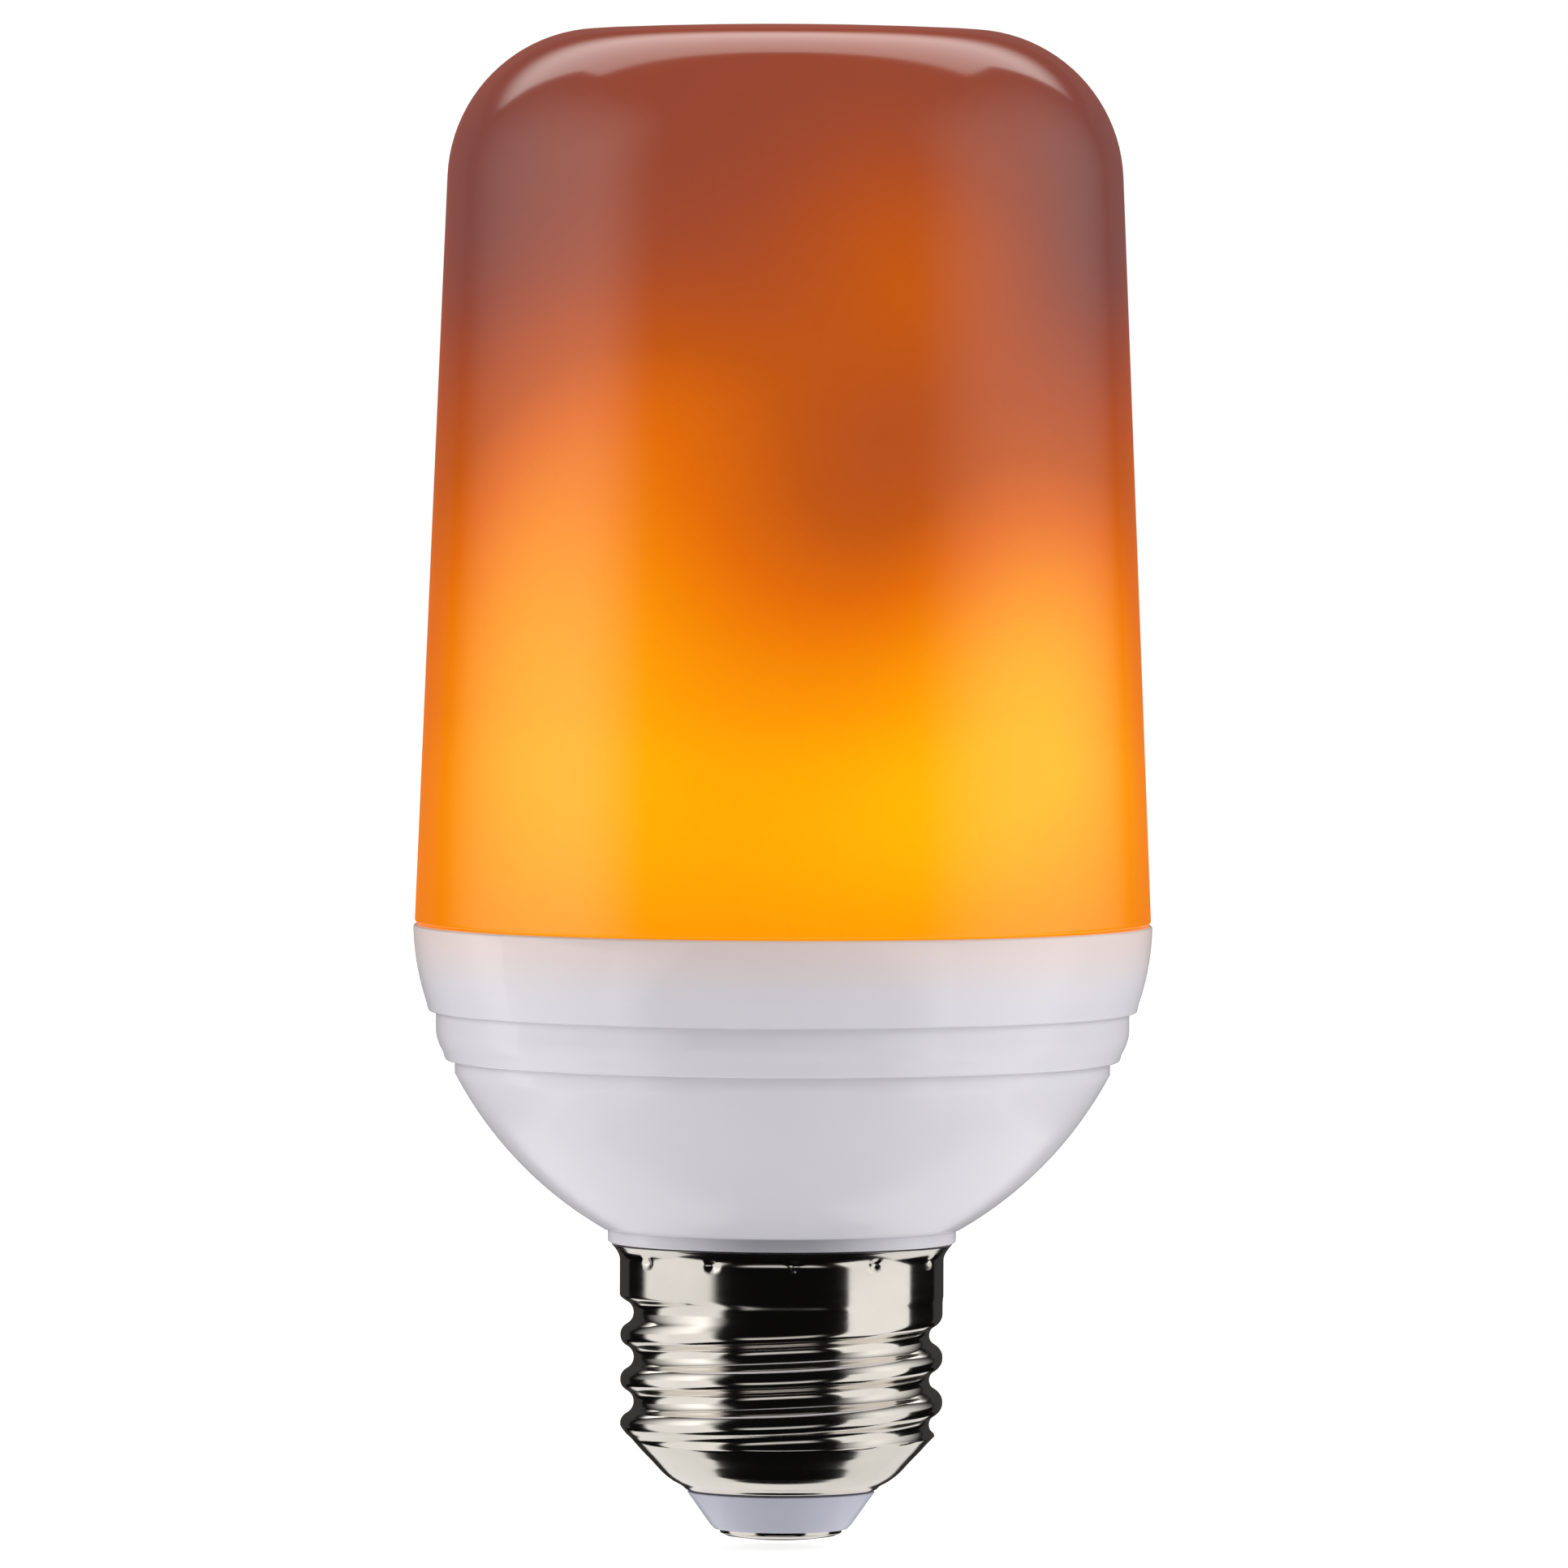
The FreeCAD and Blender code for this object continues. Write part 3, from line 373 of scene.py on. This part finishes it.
def turned(profile, segments, verts, faces):
    """Add a closed ring profile turned about Z; points on the axis become one vertex."""
    rings = []
    for r, z in profile:
        if r < 1e-6:
            verts.append((0, 0, z))
            rings.append([len(verts) - 1] * segments)
            continue
        start = len(verts)
        for k in range(segments):
            verts.append((*polar(r, TAU * k / segments), z))
        rings.append(list(range(start, start + segments)))
    for low, high in zip(rings, rings[1:] + rings[:1]):
        for k in range(segments):
            n = (k + 1) % segments
            face = []
            for v in (low[k], low[n], high[n], high[k]):
                if v not in face:
                    face.append(v)
            if len(face) > 2:
                faces.append(face)


def post(x, y, r, low, high, verts, faces):
    """Add an upright round post."""
    sides = 32
    start = len(verts)
    for z in (low, high):
        for k in range(sides):
            dx, dy = polar(r, TAU * k / sides)
            verts.append((x + dx, y + dy, z))
    for k in range(sides):
        n = (k + 1) % sides
        faces.append([start + k, start + n, start + sides + n, start + sides + k])
    faces.append([start + k for k in range(sides)][::-1])
    faces.append([start + sides + k for k in range(sides)])


CROWN_Z, CROWN_R = 123.0, 330.0     # top of the lamp and the radius of its slight dome
BODY_SIDES, CAP_SIDES = 192, 128


def make_diffuser():
    dome = [(r, CROWN_Z - CROWN_R + math.sqrt(CROWN_R ** 2 - r ** 2)) for r in (3, 6, 10, 14)]
    corners = [
        (0, CROWN_Z), *dome, (26.92, 121.9, 12.5), (28.4, 86.0), (29.87, 50.35, 0.15), (29.75, 50.16),
        (28.15, 50.15), (28.15, 45.95, 0.3), (26.55, 45.95), (26.55, 50.15), (28.27, 52.15),
        (26.8, 86.0), (25.32, 120.3, 10.9), (14, 121.1), (8, 121.3), (0, 121.4),
    ]
    verts, faces = [], []
    turned(rounded_line(corners, 22), BODY_SIDES, verts, faces)
    finish_mesh("diffuser_skin", verts, faces, "frosted_diffuser", "diffuser")


BOSS_RING, BOSS_R, PEG_R = 11.7, 1.7, 0.75      # board posts and their pegs
SCREW_RING, SCREW_BOSS_R = 22.5, 2.2


def make_housing():
    tier = arc((30.0, 50.0), (29.67, 46.6), (28.75, 43.2), 14)
    foot = arc((28.15, 41.35), (27.95, 40.45), (27.35, 39.35), 6)
    bowl = arc((26.6, 37.9), (21.43, 30.73), (14.5, 25.3), 26)
    cup = arc((13.5, 26.9), (20.13, 32.03), (24.8, 38.3), 16)
    corners = [
        (30.0, 50.0, 0.22), *tier[1:], (28.75, 42.95, 0.2), (28.15, 42.95, 0.07), (28.15, 41.35),
        *foot, (27.35, 38.95, 0.3), (26.6, 38.95, 0.07), (26.6, 37.9), *bowl, (14.5, 25.3),
        (14.15, 25.25), (14.15, 24.2, 0.2), (12.775, 24.2), (12.775, 20.7), (11.45, 19.7),
        (11.45, 14.0, 0.2), (9.9, 14.0, 0.2), (9.9, 26.9, 0.3), (13.5, 26.9), *cup, (24.8, 38.3),
        (24.8, 40.6), (26.35, 40.6), (26.35, 45.65), (28.3, 45.65), (28.3, 50.0, 0.15),
    ]
    verts, faces = [], []
    turned(rounded_line(corners, 5), BODY_SIDES, verts, faces)
    for k in range(3):
        x, y = polar(BOSS_RING, math.radians(90 + 120 * k))
        post(x, y, BOSS_R, 26.8, 33.0, verts, faces)
        post(x, y, PEG_R, 32.9, 35.4, verts, faces)
        x, y = polar(SCREW_RING, math.radians(30 + 120 * k))
        post(x, y, SCREW_BOSS_R, 35.0, 40.58, verts, faces)
    finish_mesh("housing_shell", verts, faces, "white_plastic", "housing")


# Screw cap: turned blank with the rolled thread pressed into it, in mm and radians
PITCH, RHO, CREST = 3.629, 1.025, 13.1                  # RHO rounds crests and grooves
GROOVE = 5.753                                          # height of the groove at no turn
THREAD_END, RUN_OUT = math.radians(1349.0), math.radians(95.0)
SKIRT_OUT, SKIRT_STEP, FLARE_OUT = 0.35, 1.2, 0.75      # how far skirt and mouth step out
LIP_Z, SKIRT_Z, FLARE_Z, MOUTH_Z = 4.1, 19.3, 22.9, 24.1
SKIRT_R = 13.15
CONE = [(LIP_Z, 7.76), (4.4, 8.03), (4.8, 8.78), (5.2, 9.34), (5.6, 9.77), (6.4, 10.5),
        (7.2, 11.28), (8.0, 12.0), (8.6, 12.6), (9.3, SKIRT_R)]
SEAM = 0.12                                             # soft change from blank to thread
DIMPLES, DIMPLE_TURN, DIMPLE_Z = 12, math.radians(274.7), 22.95
DIMPLE_R, DIMPLE_DEEP = 0.62, 0.24
CAP_WALL, CAP_ACROSS, OUTER_STEP, INNER_STEP = 0.3, 300, 0.115, 0.5


def groove_depth(turn, z):
    """Depth of the rolled groove, which runs out under the skirt."""
    quarter = PITCH / 4
    full = 2 * (RHO - math.sqrt(RHO ** 2 - quarter ** 2))
    along = (z - GROOVE) / PITCH - turn / TAU
    lap = round(along)
    off = abs(along - lap) * PITCH
    if off <= quarter:
        depth = full - (RHO - math.sqrt(RHO ** 2 - off ** 2))
    else:
        depth = RHO - math.sqrt(RHO ** 2 - (2 * quarter - off) ** 2)
    return depth * eased((THREAD_END - (turn + TAU * lap)) / RUN_OUT)


def blank_radius(z):
    """Outside of the blank: cone, skirt and flared mouth."""
    if z >= FLARE_Z:
        rise = (z - FLARE_Z) / (MOUTH_Z - FLARE_Z)
        return SKIRT_R + FLARE_OUT * (0.35 * rise + 0.65 * rise * rise)
    for (z0, r0), (z1, r1) in zip(CONE, CONE[1:]):
        if z <= z1:
            return r0 + (r1 - r0) * (z - z0) / (z1 - z0)
    return SKIRT_R


def shell_radius(turn, z, inset):
    """Outside of the rolled shell with its dimples, or its inside where inset is the wall."""
    blank = blank_radius(z)
    thread = CREST - groove_depth(turn, z) + SKIRT_OUT * eased((z - SKIRT_Z) / SKIRT_STEP)
    thread += 2.0 * max(0.0, z - FLARE_Z)
    blend = max(0.0, SEAM - abs(blank - thread)) / SEAM
    r = min(blank, thread) - blend * blend * SEAM * 0.25
    if not inset:
        apart = TAU / DIMPLES
        near = round((turn - DIMPLE_TURN) / apart) * apart + DIMPLE_TURN
        away = math.hypot((turn - near) * SKIRT_R, z - DIMPLE_Z) / DIMPLE_R
        if away < 1:
            r -= DIMPLE_DEEP * (1 - away ** 2) ** 1.5
    return r - inset


def make_screw_shell():
    """Rings up the outside and down the inside; at lip and mouth they turn in by the third value."""
    verts, faces = [], []

    def ring(z, inset, out=0.0):
        start = len(verts)
        for k in range(CAP_ACROSS):
            turn = TAU * k / CAP_ACROSS
            r = shell_radius(turn, min(max(z, LIP_Z), MOUTH_Z), inset) - out
            verts.append((*polar(r, turn), z))
        return start

    tall = MOUTH_Z - LIP_Z
    outer = [ring(LIP_Z, 0.0, 0.12), ring(LIP_Z + 0.04, 0.0, 0.02)]
    outer += [ring(LIP_Z + OUTER_STEP * k, 0.0) for k in range(1, int(tall / OUTER_STEP) + 1)]
    outer += [ring(MOUTH_Z - 0.03, 0.0, 0.03), ring(MOUTH_Z, 0.0, 0.13)]
    inner = [ring(MOUTH_Z, CAP_WALL, -0.1), ring(MOUTH_Z - 0.08, CAP_WALL)]
    inner += [ring(MOUTH_Z - CAP_WALL - INNER_STEP * k, CAP_WALL) for k in range(int(tall / INNER_STEP) - 1)]
    inner += [ring(LIP_Z + 0.22, CAP_WALL, 0.1), ring(LIP_Z, CAP_WALL, -0.12)]
    rings = outer + inner
    for a, b in zip(rings, rings[1:] + rings[:1]):
        for k in range(CAP_ACROSS):
            n = (k + 1) % CAP_ACROSS
            faces.append([a + k, a + n, b + n, b + k])
    finish_mesh("screw_cap_shell", verts, faces, "nickel_plate", "screw_shell", 50)


def make_cap_end():
    verts, faces = [], []
    corners = [
        (4.95, 0.9), (5.4, 0.9, 0.12), (5.75, 1.25, 0.3), (7.66, 3.95, 0.08), (7.16, 4.0), (7.16, 4.85),
        (9.36, 6.55), (9.36, 7.3, 0.2), (3.1, 7.3), (1.65, 6.6), (1.65, 0.9),
    ]
    turned(rounded_line(corners, 5), CAP_SIDES, verts, faces)
    finish_mesh("insulator_cone", verts, faces, "insulator_plastic", "insulator")
    verts, faces = [], []
    dome = arc((0.6, 0.0), (2.871, 0.15), (4.75, 0.42), 12)
    corners = [(0, 0), (0.6, 0), *dome, (4.95, 0.6, 0.12), (4.95, 0.9), (1.5, 0.9), (1.5, 8.4), (0, 8.4)]
    turned(rounded_line(corners, 4), CAP_SIDES, verts, faces)
    finish_mesh("centre_contact_disc", verts, faces, "nickel_plate", "centre_contact")


make_diffuser()
make_housing()
make_screw_shell()
make_cap_end()

for part in frame["record"]["subparts"]:
    found = frame["nodes"].get(part["node"])
    if found is None:
        continue
    material = MATERIALS[part["material_slot"]]
    if not found.material_slots:
        found.data.materials.append(material)
    for slot in found.material_slots:
        slot.material = material


# Studio, in metres: cards for the reflections, soft lamps, floor and a world that is white to the camera

def sheet(name, half_wide, half_tall, material):
    """A flat rectangle that belongs to the studio."""
    w, t = half_wide, half_tall
    mesh = bpy.data.meshes.new(name)
    mesh.from_pydata([(-w, -t, 0), (w, -t, 0), (w, t, 0), (-w, t, 0)], [], [(0, 1, 2, 3)])
    mesh.materials.append(material)
    obj = bpy.data.objects.new(name, mesh)
    bpy.context.scene.collection.objects.link(obj)
    return obj


def turn_to(obj, centre, target_z, axis):
    """Put the object at its centre and turn its axis to a point on the lamp's axis."""
    obj.location = centre
    aim = Vector((0, 0, target_z)) - Vector(centre)
    obj.rotation_euler = aim.to_track_quat(axis, "Y").to_euler()


def glow_material(name, strength, half, fade):
    """Even light that fades towards the card's left, right, lower and upper edge."""
    m = Nodes(name)
    spot = m.xyz()
    for k, wide in enumerate(fade):
        if wide:
            side, reach = spot[k // 2], half[k // 2]
            if k % 2 == 0:
                share = m.span(side, -reach, wide - reach, 0.0, 1.0, True)
            else:
                share = m.span(side, reach - wide, reach, 1.0, 0.0, True)
            strength = m.math("MULTIPLY", share, strength)
    light = m.add("ShaderNodeEmission")
    light.inputs[0].default_value = CARD_TONE
    m.feed(strength, light.inputs[1])
    m.feed(light.outputs[0], m.tree.nodes["Material Output"].inputs[0])
    m.tree.nodes.remove(m.bsdf)
    return m.mat


def card(name, centre, wide, tall, strength, fade=(), lights=True):
    """A rectangle that faces the lamp, unseen by the camera; without lights, only gloss shows it."""
    half = (wide / 2, tall / 2)
    obj = sheet(name, *half, glow_material(name, strength, half, fade))
    # A high card leans towards the lamp's middle, the others stand upright
    turn_to(obj, centre, LAMP_MIDDLE if centre[2] > 1 else centre[2], "Z")
    obj.visible_camera = False
    obj.visible_shadow = False
    obj.visible_diffuse = lights
    return obj


def around(azimuth, distance, height):
    turn = math.radians(azimuth)
    return (distance * math.sin(turn), -distance * math.cos(turn), height)


def area(name, centre, size, power):
    """A soft lamp that reflections don't see."""
    data = bpy.data.lights.new(name, "AREA")
    data.energy = power
    data.size = size
    obj = bpy.data.objects.new(name, data)
    bpy.context.scene.collection.objects.link(obj)
    turn_to(obj, centre, 0.05, "-Z")
    obj.visible_glossy = False


CARD_TONE, LAMP_MIDDLE = (1.0, 0.985, 0.955, 1), 0.06
card("softbox_left", around(-81.5, 0.62, -0.36), 0.90, 0.78, 1.0, (0.12, 0.12), lights=False)
card("softbox_right", around(76, 0.62, -0.36), 0.65, 0.78, 1.0, lights=False)
card("strip_left", around(-88, 0.62, 0.53), 1.284, 1.0, 1.5, (0.45, 0.95, 0, 0.75))
card("strip_right", around(92, 0.62, 0.53), 1.478, 1.0, 1.1, (0.90, 0.59, 0, 0.75))
card("softbox_top", (0.0, 1.226, 1.37), 3.1, 1.35, 2.1, (0, 0, 0.45, 0))
card("back_glow", around(180, 1.3, 0.1), 2.2, 0.9, 0.045)
card("table_front", around(0, 0.62, -0.42), 0.9, 0.44, 0.7, (0.2, 0.2, 0.15, 0.15), lights=False)
under = card("table_glow", (0.0, 0.335, -0.25), 0.66, 0.53, 0.9, lights=False)
under.rotation_euler = (0.0, 0.0, 0.0)

area("fill_left", around(-75, 1.0, 0.50), 0.7, 6.5)
area("fill_right", around(75, 1.0, 0.50), 0.7, 8.8)
area("fill_front", around(0, 0.75, 1.25), 0.9, 2.2)
area("fill_back", around(180, 1.0, 0.6), 0.7, 1.5)

FLOOR_HALF, FLOOR_Z = 6, -0.0006
FLOOR_TONE, FLOOR_LIGHT = (0.40, 0.40, 0.40, 1), 0.92   # its light for all but the camera
SHADE_FROM, SHADE_TO, SHADE = 0.08, 0.42, 0.82          # darker round the lamp's foot


def floor_material():
    m = Nodes("floor")
    apart = m.add("ShaderNodeVectorMath", operation="LENGTH")
    m.feed(m.place(), apart.inputs[0])
    spread = m.span(apart.outputs["Value"], SHADE_FROM, SHADE_TO, SHADE, 1.0, True)
    seen = m.add("ShaderNodeLightPath").outputs["Is Camera Ray"]
    power = m.math("MULTIPLY", spread, m.span(seen, 0.0, 1.0, FLOOR_LIGHT, 1.0))
    m.set(Base_Color=FLOOR_TONE, Roughness=1.0, Specular_IOR_Level=0.0, Emission_Color=WHITE,
          Emission_Strength=power)
    return m.mat


floor = sheet("floor", FLOOR_HALF, FLOOR_HALF, floor_material())
floor.location = (0, 0, FLOOR_Z)
floor.visible_glossy = False

DIM_ROOM = (0.004, 0.004, 0.004, 1)    # what all but the camera sees of the world
world = bpy.data.worlds.new("studio")
bpy.context.scene.world = world
world.use_nodes = True
tree = world.node_tree
tree.nodes.clear()
path = tree.nodes.new("ShaderNodeLightPath")
blend = tree.nodes.new("ShaderNodeMixShader")
tree.links.new(path.outputs["Is Camera Ray"], blend.inputs[0])
for socket, tone in ((blend.inputs[1], DIM_ROOM), (blend.inputs[2], WHITE)):
    backdrop = tree.nodes.new("ShaderNodeBackground")
    backdrop.inputs[0].default_value = tone
    tree.links.new(backdrop.outputs[0], socket)
out = tree.nodes.new("ShaderNodeOutputWorld")
tree.links.new(blend.outputs[0], out.inputs[0])

# Camera: a long lens slightly above the lamp's middle
DISTANCE, EYE, ROLL = 1.40, 0.112, math.radians(0.2)
PHOTO_PX, PX_PER_MM, SENSOR = 1932, 15.2, 36.0
data = bpy.data.cameras.new("camera")
camera = bpy.data.objects.new("camera", data)
bpy.context.scene.collection.objects.link(camera)
bpy.context.scene.camera = camera
data.sensor_width = SENSOR
data.lens = SENSOR * DISTANCE / (PHOTO_PX / PX_PER_MM * MM)
data.clip_end = 20
camera.location = (0, -DISTANCE, EYE)
middle = Vector((0.00005, 0, 0.0614))
camera.rotation_euler = (middle - camera.location).to_track_quat("-Z", "Y").to_euler()
camera.rotation_euler.rotate_axis("Z", ROLL)
bpy.context.scene.view_settings.view_transform = "Standard"
